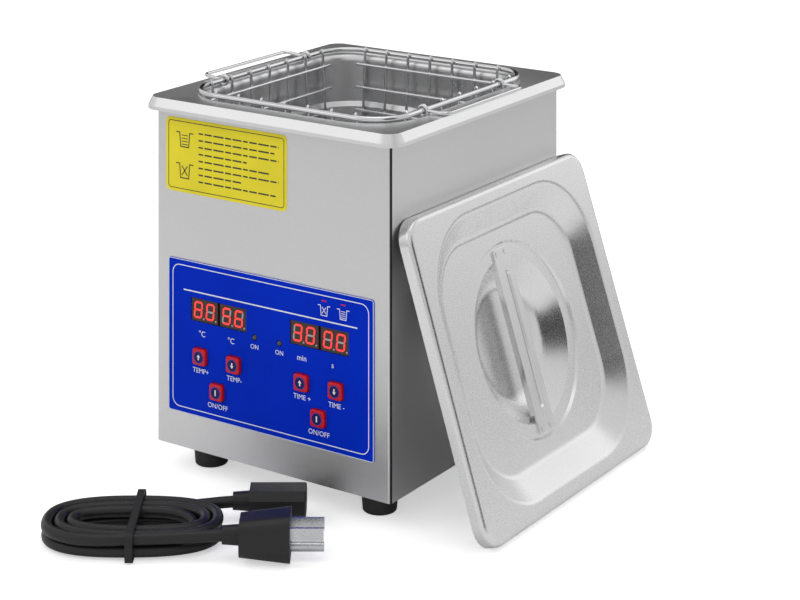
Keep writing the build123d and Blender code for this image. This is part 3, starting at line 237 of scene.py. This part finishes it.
PAINT = {
    "casing": ["casing"],
    "panel_steel": ["rear_panel", "base_plate"],
    "tank": ["tank"],
    "lid": ["lid_pan"],
    "handle": ["lid_handle", "handle_rivets"],
    "wire": ["basket_rim", "basket_hoops", "basket_level_wires", "basket_handle_left", "basket_handle_right"],
    "screw": ["case_screws", "board_screws", "foot_fasteners", "transducer_back_mass", "transducer_bolt",
              "plug_pins"],
    "rubber": ["rubber_feet"],
    "black": ["mains_inlet", "fuse_drawer", "switch_housing", "rocker", "tact_switches", "controller_chips",
              "power_transistors", "output_transformer", "cord_tie"],
    "cord": ["mains_cord", "cord_connector", "mains_plug"],
    "brass": ["board_posts", "electrodes", "temperature_sensor", "earth_stud", "inlet_pins"],
    "aluminium": ["transducer_horn", "heatsink"],
    "board": ["control_board", "driver_board"],
    "silicone": ["heater_pads"],
    "seal": ["flange_gasket"],
    "ceramic": ["piezo_rings"],
    "sleeve": ["capacitors"],
    "lead": ["internal_leads"],
    "ribbon": ["ribbon_cable"],
    "green": ["terminal_blocks"],
    "blue": ["front_overlay"],
    "yellow": ["info_label"],
    "red": BUTTON_NODES,
    "display": ["temperature_display", "timer_display"],
    "lamp": ["status_lamps"],
    "glass": ["fuse"],
}


CRISP_TURN = 38                             # degrees; edges that turn further stay crisp
ROUNDER = {"tank": 50, "lid_pan": 70}       # drawn shapes, whose corners flow


def shade_soft(data, turn):
    """Smooth shading that keeps every edge sharper than the given turn crisp."""
    shape = bmesh.new()
    shape.from_mesh(data)
    for face in shape.faces:
        face.smooth = True
    for edge in shape.edges:
        edge.smooth = len(edge.link_faces) == 2 and edge.calc_face_angle(0) < math.radians(turn)
    shape.to_mesh(data)
    shape.free()


for finish, members in PAINT.items():
    for member in members:
        data = NODES[member].data
        data.materials.clear()
        data.materials.append(MATERIALS[finish].material)
        shade_soft(data, ROUNDER.get(member, CRISP_TURN))
        even = NODES[member].modifiers.new("even_normals", "WEIGHTED_NORMAL")
        even.keep_sharp = True


# ---------------------------------------------------------------- flat artwork on upright faces
MITRE_LIMIT = 0.4                           # cosine of the sharpest turn that is fully mitred
INK, CAP_INK, SUNK = 0.06, 0.05, 0.01       # millimetres: thickness of print, how far it is let in
SAME_SPOT = 1e-7                            # metres; corners closer than this are one


class Artwork:
    """Thin closed shapes printed on a face that looks towards -Y. Sizes are in millimetres."""

    def __init__(self, face_y, thick=INK):
        self.bm = bmesh.new()
        self.front, self.back = face_y - thick, face_y + SUNK

    def band(self, left, right, closed):
        """A solid band between two rows of points, which may close into a ring."""
        edges = ((left, self.front), (right, self.front), (right, self.back), (left, self.back))
        rows = [[self.bm.verts.new((x * MM, y * MM, z * MM)) for x, z in row] for row, y in edges]
        count = len(left)
        for i in range(count if closed else count - 1):
            j = (i + 1) % count
            for a, b in ((0, 1), (1, 2), (2, 3), (3, 0)):
                self.bm.faces.new((rows[a][i], rows[b][i], rows[b][j], rows[a][j]))
        if not closed:
            self.bm.faces.new([row[0] for row in reversed(rows)])
            self.bm.faces.new([row[-1] for row in rows])

    def stroke(self, points, width):
        """An open line of even width with mitred turns."""
        left, right = [], []
        for i, (x, z) in enumerate(points):
            before = Vector(points[max(i - 1, 0)])
            after = Vector(points[min(i + 1, len(points) - 1)])
            here = Vector((x, z))
            runs = [d.normalized() for d in (here - before, after - here) if d.length > 1e-9]
            along = sum(runs, Vector((0, 0))).normalized()
            reach = width / 2 / max(along.dot(runs[0]), MITRE_LIMIT)
            side = Vector((-along.y, along.x)) * reach
            left.append(tuple(here + side))
            right.append(tuple(here - side))
        self.band(left, right, False)

    def frame_line(self, x, z, w, h, radius, width):
        """A rounded rectangular line; w and h are its outer size."""
        outer = rounded(x, z, w, h, radius)
        inner = rounded(x, z, w - 2 * width, h - 2 * width, radius - width)
        self.band(outer, inner, True)

    def ring(self, x, z, radius, width):
        self.band(circle(x, z, radius), circle(x, z, radius - width), True)

    def fill(self, points):
        """A filled convex outline."""
        fronts = [self.bm.verts.new((x * MM, self.front * MM, z * MM)) for x, z in points]
        backs = [self.bm.verts.new((x * MM, self.back * MM, z * MM)) for x, z in points]
        self.bm.faces.new(fronts)
        self.bm.faces.new(list(reversed(backs)))
        for i in range(len(points)):
            j = (i + 1) % len(points)
            self.bm.faces.new((fronts[j], fronts[i], backs[i], backs[j]))

    def words(self, text, x, z, size):
        """Generic lettering, centred on (x, z), as solid letters."""
        curve = bpy.data.curves.new("letters", "FONT")
        curve.body, curve.size = text, size * MM
        curve.align_x, curve.align_y = "CENTER", "CENTER"
        curve.extrude = (self.back - self.front) / 2 * MM
        curve.resolution_u = 3
        first = len(self.bm.verts)
        self.bm.from_mesh(curve_mesh(curve))
        self.bm.verts.ensure_lookup_table()
        middle = (self.front + self.back) / 2 * MM
        for vert in self.bm.verts[first:]:
            a, b, c = vert.co
            vert.co = (x * MM + a, middle - c, z * MM + b)

    def make(self, name, finish, body, slot):
        """Turn everything drawn so far into one piece."""
        bmesh.ops.remove_doubles(self.bm, verts=self.bm.verts, dist=SAME_SPOT)
        bmesh.ops.recalc_face_normals(self.bm, faces=self.bm.faces)
        for face in self.bm.faces:
            face.smooth = False
        data = bpy.data.meshes.new(name)
        self.bm.to_mesh(data)
        self.bm.free()
        add_piece(name, data, finish, body)


def curve_mesh(curve):
    """The solid mesh of a curve or of lettering."""
    holder = bpy.data.objects.new(curve.name, curve)
    bpy.context.scene.collection.objects.link(holder)
    graph = bpy.context.evaluated_depsgraph_get()
    data = bpy.data.meshes.new_from_object(holder.evaluated_get(graph))
    bpy.data.objects.remove(holder)
    return data


def add_piece(name, data, finish, body):
    """Show a mesh as a piece that rides on a body."""
    data.materials.clear()
    data.materials.append(MATERIALS[finish].material)
    piece = bpy.data.objects.new(name, data)
    bpy.context.scene.collection.objects.link(piece)
    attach(piece, body)
    return piece


def circle(x, z, radius, steps=28):
    angles = [2 * math.pi * i / steps for i in range(steps)]
    return [(x + radius * math.cos(a), z + radius * math.sin(a)) for a in angles]


def rounded(x, z, w, h, radius, steps=6):
    """The outline of a rectangle with round corners."""
    points = []
    corners = ((1, 1, 0), (-1, 1, 90), (-1, -1, 180), (1, -1, 270))
    for sx, sz, start in corners:
        cx, cz = x + sx * (w / 2 - radius), z + sz * (h / 2 - radius)
        for i in range(steps + 1):
            a = math.radians(start + 90 * i / steps)
            points.append((cx + radius * math.cos(a), cz + radius * math.sin(a)))
    return points


def box_mm(node):
    """The low and high corners of a CAD piece, in millimetres."""
    low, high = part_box(node)
    return low / MM, high / MM


def middle_mm(node):
    low, high = box_mm(node)
    return (low + high) / 2


def tank_icon(art, x, z, size, line, crossed):
    """A small basin: sloping sides, a base and turned-out rims, crossed out or holding liquid."""
    top, base, half = z + size * 0.4, z - size * 0.4, size * 0.36
    rim, foot = size * 0.62, half * 0.8
    art.stroke([(x - rim, top), (x - half, top), (x - foot, base),
                (x + foot, base), (x + half, top), (x + rim, top)], line)
    if crossed:
        reach, low, high = half * 0.55, base + size * 0.16, top - size * 0.12
        art.stroke([(x - reach, low), (x + reach, high)], line)
        art.stroke([(x - reach, high), (x + reach, low)], line)
    else:
        for row in range(4):
            level = base + size * (0.14 + 0.17 * row)
            art.stroke([(x - half * 0.62, level), (x + half * 0.62, level)], line * 0.8)


# ---------------------------------------------------------------- control panel
OUTLINE_INSET, OUTLINE_R, OUTLINE_W = 0.1, 1.4, 0.35
BORDER_INSET, BORDER_R, BORDER_W = 3.0, 5.0, 0.5
DIVIDER_Z, DIVIDER_X, DIVIDER_W = 103.8, (-60.0, 59.0), 0.7
LEGENDS = {                                 # unit under each half of a display
    "temperature_display": ("°C", "°C"),
    "timer_display": ("min", "s"),
}
LEGEND_SHIFTS, LEGEND_DROP, LEGEND_SIZE = (-11.5, 9.0), 13.0, 4.4
LAMP_MARKS, LAMP_MARK_Z, LAMP_MARK_SIZE = (-9.8, 7.2), 80.8, 3.6
CAP_WORDS = {
    "button_temp_up": "TEMP+", "button_temp_down": "TEMP-", "button_heat_on_off": "ON/OFF",
    "button_time_up": "TIME +", "button_time_down": "TIME -", "button_clean_on_off": "ON/OFF",
}
CAP_WORD_DROP, CAP_WORD_SIZE = 8.3, 3.9
PANEL_ICON_X, PANEL_ICON_Z, PANEL_ICON_SIZE, PANEL_ICON_LINE = (37.2, 49.8), 109.2, 6.6, 0.42
DASH_Z, DASH_HALF, DASH_W = 114.4, 1.6, 0.7     # a red dash over each pictogram


def inset_frame(art, low, high, inset, radius, width):
    """A rounded border line, a given way inside a piece's outline."""
    art.frame_line((low.x + high.x) / 2, (low.z + high.z) / 2,
                   high.x - low.x - 2 * inset, high.z - low.z - 2 * inset, radius, width)


def panel_print():
    low, high = box_mm("front_overlay")
    art = Artwork(low.y)
    inset_frame(art, low, high, OUTLINE_INSET, OUTLINE_R, OUTLINE_W)
    inset_frame(art, low, high, BORDER_INSET, BORDER_R, BORDER_W)
    art.stroke([(x, DIVIDER_Z) for x in DIVIDER_X], DIVIDER_W)
    for node, units in LEGENDS.items():
        middle = middle_mm(node)
        for shift, unit in zip(LEGEND_SHIFTS, units):
            art.words(unit, middle.x + shift, middle.z - LEGEND_DROP, LEGEND_SIZE)
    for lamp_x in LAMP_MARKS:
        art.words("ON", lamp_x, LAMP_MARK_Z, LAMP_MARK_SIZE)
    for node, word in CAP_WORDS.items():
        middle = middle_mm(node)
        art.words(word, middle.x, middle.z - CAP_WORD_DROP, CAP_WORD_SIZE)
    for icon_x, crossed in zip(PANEL_ICON_X, (True, False)):
        tank_icon(art, icon_x, PANEL_ICON_Z, PANEL_ICON_SIZE, PANEL_ICON_LINE, crossed)
    art.make("panel_print_white", "white_ink", "cleaner", "blue_panel")
    dashes = Artwork(low.y)
    for icon_x in PANEL_ICON_X:
        dashes.stroke([(icon_x - DASH_HALF, DASH_Z), (icon_x + DASH_HALF, DASH_Z)], DASH_W)
    dashes.make("panel_print_red", "red", "cleaner", "blue_panel")


DISC_R, RING_R, RING_W = 3.4, 3.35, 0.3
BAR_HALF, STEM_W = 1.6, 0.8
ARROW_HALF_W, ARROW_BASE, ARROW_TIP = 1.15, 0.1, 1.7
STEM_TOP, STEM_FOOT = 0.15, 1.5


def button_print():
    """A navy disc, a thin ring and an arrow or a bar on each cap; they travel with the cap."""
    for node in BUTTON_NODES:
        x, _, z = middle_mm(node)
        face = box_mm(node)[0].y
        disc = Artwork(face, CAP_INK)
        disc.fill(circle(x, z, DISC_R))
        disc.make(f"{node}_disc", "navy", node, "button_red")
        ring = Artwork(face - CAP_INK, CAP_INK)
        ring.ring(x, z, RING_R, RING_W)
        ring.make(f"{node}_ring", "ring", node, "button_red")
        mark = Artwork(face - CAP_INK, CAP_INK)
        if node.endswith("on_off"):
            mark.stroke([(x, z - BAR_HALF), (x, z + BAR_HALF)], STEM_W)
        else:
            way = 1 if node.endswith("up") else -1
            mark.fill([(x - ARROW_HALF_W, z + way * ARROW_BASE), (x, z + way * ARROW_TIP),
                       (x + ARROW_HALF_W, z + way * ARROW_BASE)])
            mark.stroke([(x, z + way * STEM_TOP), (x, z - way * STEM_FOOT)], STEM_W)
        mark.make(f"{node}_mark", "white_ink", node, "button_red")


SEGMENTS = {"0": "abcdef", "3": "abcdg", "5": "afgcd", "6": "afgedc", "8": "abcdefg"}
SHOWN = {"temperature_display": "8056", "timer_display": "3000"}
MODULE_W = 18.5                             # a display is two modules of two digits
DIGIT_W, DIGIT_H, DIGIT_LEAN = 5.9, 9.4, 0.1
DIGIT_SPOTS, DIGIT_SHIFT = (0.27, 0.73), -0.3   # shares of a module's width, then millimetres
SEGMENT_W, SEGMENT_GAP = 1.0, 0.12
POINT_X, POINT_DROP, POINT_R = 3.9, 4.6, 0.55


def segment_shape(name, x, z):
    """The six-sided outline of one segment of a leaning digit centred on (x, z)."""
    right, top = (DIGIT_W - SEGMENT_W) / 2, (DIGIT_H - SEGMENT_W) / 2
    start, end = {
        "a": ((-right, top), (right, top)),
        "b": ((right, 0), (right, top)),
        "c": ((right, -top), (right, 0)),
        "d": ((-right, -top), (right, -top)),
        "e": ((-right, -top), (-right, 0)),
        "f": ((-right, 0), (-right, top)),
        "g": ((-right, 0), (right, 0)),
    }[name]
    along = (Vector(end) - Vector(start)).normalized()
    side = Vector((-along.y, along.x)) * SEGMENT_W / 2
    first, last = Vector(start) + along * SEGMENT_GAP, Vector(end) - along * SEGMENT_GAP
    shoulder, hip = first + along * SEGMENT_W / 2, last - along * SEGMENT_W / 2
    outline = [first, shoulder - side, hip - side, last, hip + side, shoulder + side]
    return [(x + p.x + DIGIT_LEAN * p.y, z + p.y) for p in outline]


def display_digits():
    """Four leaning digits and their points on each display."""
    for node, text in SHOWN.items():
        low, high = box_mm(node)
        z = middle_mm(node).z
        lit, unlit = Artwork(low.y), Artwork(low.y)
        for i, digit in enumerate(text):
            start = low.x if i < 2 else high.x - MODULE_W
            x = start + MODULE_W * DIGIT_SPOTS[i % 2] + DIGIT_SHIFT
            for name in "abcdefg":
                art = lit if name in SEGMENTS[digit] else unlit
                art.fill(segment_shape(name, x, z))
            unlit.fill(circle(x + POINT_X, z - POINT_DROP, POINT_R, 12))
        lit.make(f"{node}_lit", "on", "cleaner", "display_body")
        unlit.make(f"{node}_unlit", "off", "cleaner", "display_body")


LABEL_INSET, LABEL_R, LABEL_LINE = 1.7, 1.8, 0.4
LABEL_ICON_X, LABEL_ICON_IN, LABEL_ICON_SIZE, LABEL_ICON_LINE = 13.5, 12.0, 10.0, 0.6
ROW_LENGTHS = (56, 53, 56, 34, 50, 56, 30, 54)
ROW_X, ROW_TOP, ROW_PITCH, ROW_W = 23.5, 7.2, 3.85, 0.85
WORD_MIN, WORD_GAP = 3.2, 1.1


def label_print():
    """Border, two pictograms and plain bars where lines of small print would be."""
    low, high = box_mm("info_label")
    art = Artwork(low.y)
    inset_frame(art, low, high, LABEL_INSET, LABEL_R, LABEL_LINE)
    for icon_z, crossed in ((high.z - LABEL_ICON_IN, False), (low.z + LABEL_ICON_IN, True)):
        tank_icon(art, low.x + LABEL_ICON_X, icon_z, LABEL_ICON_SIZE, LABEL_ICON_LINE, crossed)
    for row, length in enumerate(ROW_LENGTHS):
        z = high.z - ROW_TOP - row * ROW_PITCH
        x, row_end, word = low.x + ROW_X, low.x + ROW_X + length, 0
        while x < row_end:
            end = min(x + WORD_MIN + (row * 5 + word * 7) % 5, row_end)
            art.stroke([(x, z), (end, z)], ROW_W)
            x, word = end + WORD_GAP, word + 1
    art.make("label_print", "black_ink", "cleaner", "yellow_label")


# ---------------------------------------------------------------- mains cord
HANK_AT, HANK_TURN = (-26.0, -168.0), math.radians(34.0)
HANK_HALF_L, HANK_HALF_W, CORD_PITCH, HANK_LOOPS = 48.0, 27.0, 6.5, 3
CORD_R, LOWER_Z, UPPER_Z = 3.0, 4.1, 10.2
COIL_POWER = 0.8                            # below 1, so the ovals are a little square
START_DEPTH, CLIMB_RATE = 0.25, 3           # in turns; the climb takes a third of a turn
END_PART = 0.3                              # of a turn, where the coil gives way to a tail
TAIL_Y = 23.5
CONNECTOR_TAIL = ((60, TAIL_Y, 10.5), (46, TAIL_Y, 10.3), (30, TAIL_Y + 1.5, 7.0))
PLUG_TAIL = ((30, -TAIL_Y - 0.5, 11.3), (46, -TAIL_Y, 12.4), (58, -TAIL_Y, 12.5))
STEPS_A_TURN = 24


def hank_to_world(x, y, z):
    """From the coil's own frame, in millimetres, to the scene."""
    return ((HANK_AT[0] + x * math.cos(HANK_TURN) - y * math.sin(HANK_TURN)) * MM,
            (HANK_AT[1] + x * math.sin(HANK_TURN) + y * math.cos(HANK_TURN)) * MM, z * MM)


def hank_point(turns):
    """A point on the coil: inwards on the lower layer, then outwards on the upper one."""
    depth = min(turns, 2 * HANK_LOOPS - turns) - START_DEPTH
    climb = min(max((turns - HANK_LOOPS) * CLIMB_RATE + 0.5, 0.0), 1.0)
    angle = 2 * math.pi * turns
    c, s = math.cos(angle), math.sin(angle)
    x = (HANK_HALF_L - CORD_PITCH * depth) * math.copysign(abs(c) ** COIL_POWER, c)
    y = (HANK_HALF_W - CORD_PITCH * depth) * math.copysign(abs(s) ** COIL_POWER, s)
    return (x, y, LOWER_Z + climb * (UPPER_Z - LOWER_Z))


def cord_piece():
    """One round cord from the connector, through the coil, to the plug."""
    coiled = 2 * (HANK_LOOPS - END_PART)
    count = int(coiled * STEPS_A_TURN)
    coil = [hank_point(END_PART + coiled * i / count) for i in range(count + 1)]
    points = [*CONNECTOR_TAIL, *coil, *PLUG_TAIL]
    curve = bpy.data.curves.new("cord", "CURVE")
    curve.dimensions = "3D"
    spline = curve.splines.new("NURBS")
    spline.points.add(len(points) - 1)
    for spot, point in zip(spline.points, points):
        spot.co = (*hank_to_world(*point), 1)
    spline.order_u, spline.use_endpoint_u = 4, True
    curve.bevel_depth, curve.bevel_resolution, curve.use_fill_caps = CORD_R * MM, 6, True
    curve.resolution_u = 4
    data = curve_mesh(curve)
    for polygon in data.polygons:
        polygon.use_smooth = True
    cord = add_piece("coiled_cord", data, "cord", "mains_lead")
    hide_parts("mains_cord")


# ---------------------------------------------------------------- studio
CAMERA_AT = (0.71273, -1.01959, 0.48141)
CAMERA_TURN, CAMERA_LENS, SENSOR = 33.92, 96.59, 36.0
CAMERA_SHIFT = -0.855
WORLD_LIGHT = 0.7
FLOOR_SIZE, FLOOR_TONE, FAR_TONE = 12, (0.92, 0.92, 0.92), (0.3, 0.3, 0.3)
FAR_FROM, FAR_TO = 0.7, 1.9                 # metres over which the paper greys in reflections
CAMERA_LIFT, FAR_LIFT = 0.5, 0.6            # white added for the camera, near and further off
HIGH_MIDDLE, LOW_MIDDLE, RIGHT_SIDE = (0, 0, 0.15), (0, 0, 0.1), (0.1, 0, 0.1)
LAMPS = (                                   # name, place, aim, size, power
    ("key", (-1.2, -1.6, 1.7), LOW_MIDDLE, 1.3, 11),
    ("fill", (1.7, -0.9, 1.1), RIGHT_SIDE, 1.2, 4),
    ("top", (0.1, 0.4, 2.0), LOW_MIDDLE, 1.0, 6),
)
CARDS = (                                   # name, place, aim, width, height, brightness
    ("dark_back_card", (-0.95, 1.45, 0.62), HIGH_MIDDLE, 2.8, 1.6, 0.02),
    ("dark_right_card", (1.5, -0.5, 0.3), RIGHT_SIDE, 1.5, 2.4, 0.02),
    ("bright_back_card", (0.75, 1.45, 0.78), RIGHT_SIDE, 1.4, 1.8, 1.1),
    ("bright_front_card", (-0.8, -1.25, 0.95), HIGH_MIDDLE, 1.6, 1.1, 1.15),
    ("bright_top_card", (0.0, 0.0, 1.6), LOW_MIDDLE, 1.8, 1.8, 1.3),
)
CARD_FADE = 0.22                            # of full light; a card is even inside this


def add_camera():
    """A level camera whose lens is shifted down, so uprights stay parallel; only at this place."""
    data = bpy.data.cameras.new("view_camera")
    camera = bpy.data.objects.new("view_camera", data)
    bpy.context.scene.collection.objects.link(camera)
    camera.location = CAMERA_AT
    camera.rotation_euler = (math.radians(90), 0, math.radians(CAMERA_TURN))
    data.lens, data.sensor_width = CAMERA_LENS, SENSOR
    driver = data.driver_add("shift_y").driver
    driver.type = "SCRIPTED"
    place = driver.variables.new()
    place.name = "x"
    place.targets[0].id = camera
    place.targets[0].data_path = "location[0]"
    driver.expression = f"{CAMERA_SHIFT} if abs(x - {CAMERA_AT[0]}) < 0.00001 else 0.0"
    bpy.context.scene.camera = camera


def add_area(name, at, aim, size, power):
    """A soft square lamp that doesn't show in reflections; the cards do."""
    data = bpy.data.lights.new(name, "AREA")
    data.shape, data.size, data.energy = "SQUARE", size, power
    light = bpy.data.objects.new(name, data)
    bpy.context.scene.collection.objects.link(light)
    light.location = at
    light.rotation_euler = (Vector(aim) - Vector(at)).to_track_quat("-Z", "Y").to_euler()
    light.visible_glossy = False


def card_material(name, shade):
    """Even light in the middle of a card that fades out towards its edges."""
    material = bpy.data.materials.new(name)
    material.use_nodes = True
    nodes, links = material.node_tree.nodes, material.node_tree.links
    nodes.clear()
    glow = nodes.new("ShaderNodeEmission")
    glow.inputs["Color"].default_value = (shade, shade, shade, 1)
    gradient = nodes.new("ShaderNodeTexGradient")
    gradient.gradient_type = "QUADRATIC_SPHERE"
    spread = nodes.new("ShaderNodeMapping")
    spread.inputs["Scale"].default_value = (2, 2, 2)
    fade = nodes.new("ShaderNodeMapRange")
    fade.inputs["From Max"].default_value = CARD_FADE
    mix = nodes.new("ShaderNodeMixShader")
    links.new(nodes.new("ShaderNodeTexCoord").outputs["Object"], spread.inputs["Vector"])
    links.new(spread.outputs["Vector"], gradient.inputs["Vector"])
    links.new(gradient.outputs["Fac"], fade.inputs["Value"])
    links.new(fade.outputs["Result"], mix.inputs["Fac"])
    links.new(nodes.new("ShaderNodeBsdfTransparent").outputs[0], mix.inputs[1])
    links.new(glow.outputs[0], mix.inputs[2])
    links.new(mix.outputs[0], nodes.new("ShaderNodeOutputMaterial").inputs["Surface"])
    return material


def add_card(name, at, aim, width, height, shade):
    """A card seen only in reflections, the way a studio flag shapes bright metal."""
    bpy.ops.mesh.primitive_plane_add(size=1, location=at)
    card = bpy.context.object
    card.name = name
    card.scale = (width, height, 1)
    card.rotation_euler = (Vector(aim) - Vector(at)).to_track_quat("Z", "Y").to_euler()
    card.data.materials.append(card_material(name, shade))
    card.visible_camera = card.visible_diffuse = card.visible_shadow = False


def paper_floor():
    """White paper that greys far off in reflections, and is lifted to clean white for the camera."""
    paper = plain("floor_pale", FLOOR_TONE, 0.8, 60, 0.01, specular=0.0)
    reach = paper.node("ShaderNodeVectorMath", operation="LENGTH")
    paper.link(paper.coords, reach.inputs[0])
    far = paper.node("ShaderNodeMapRange")
    far.inputs["From Min"].default_value, far.inputs["From Max"].default_value = FAR_FROM, FAR_TO
    paper.link(reach.outputs["Value"], far.inputs["Value"])
    paper.blend_color(far.outputs["Result"], paper.color_source(), FAR_TONE)
    lift = paper.calc("ADD", paper.calc("MULTIPLY", far.outputs["Result"], FAR_LIFT), CAMERA_LIFT)
    seen = paper.calc("MULTIPLY", lift, paper.node("ShaderNodeLightPath").outputs["Is Camera Ray"])
    paper.link(seen, paper.bsdf.inputs["Emission Strength"])
    paper.bsdf.inputs["Emission Color"].default_value = (1, 1, 1, 1)
    return paper.material


def add_studio():
    world = bpy.data.worlds.new("studio")
    bpy.context.scene.world = world
    world.use_nodes = True
    backdrop = world.node_tree.nodes["Background"]
    backdrop.inputs["Color"].default_value = (1, 1, 1, 1)
    backdrop.inputs["Strength"].default_value = WORLD_LIGHT
    bpy.ops.mesh.primitive_plane_add(size=FLOOR_SIZE, location=(0, 0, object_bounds()[0][2]))
    floor = bpy.context.object
    floor.name = "floor"
    floor.data.materials.append(paper_floor())
    for lamp in LAMPS:
        add_area(*lamp)
    for card in CARDS:
        add_card(*card)
    bpy.context.scene.view_settings.view_transform = "Standard"


panel_print()
button_print()
display_digits()
label_print()
cord_piece()
add_camera()
add_studio()
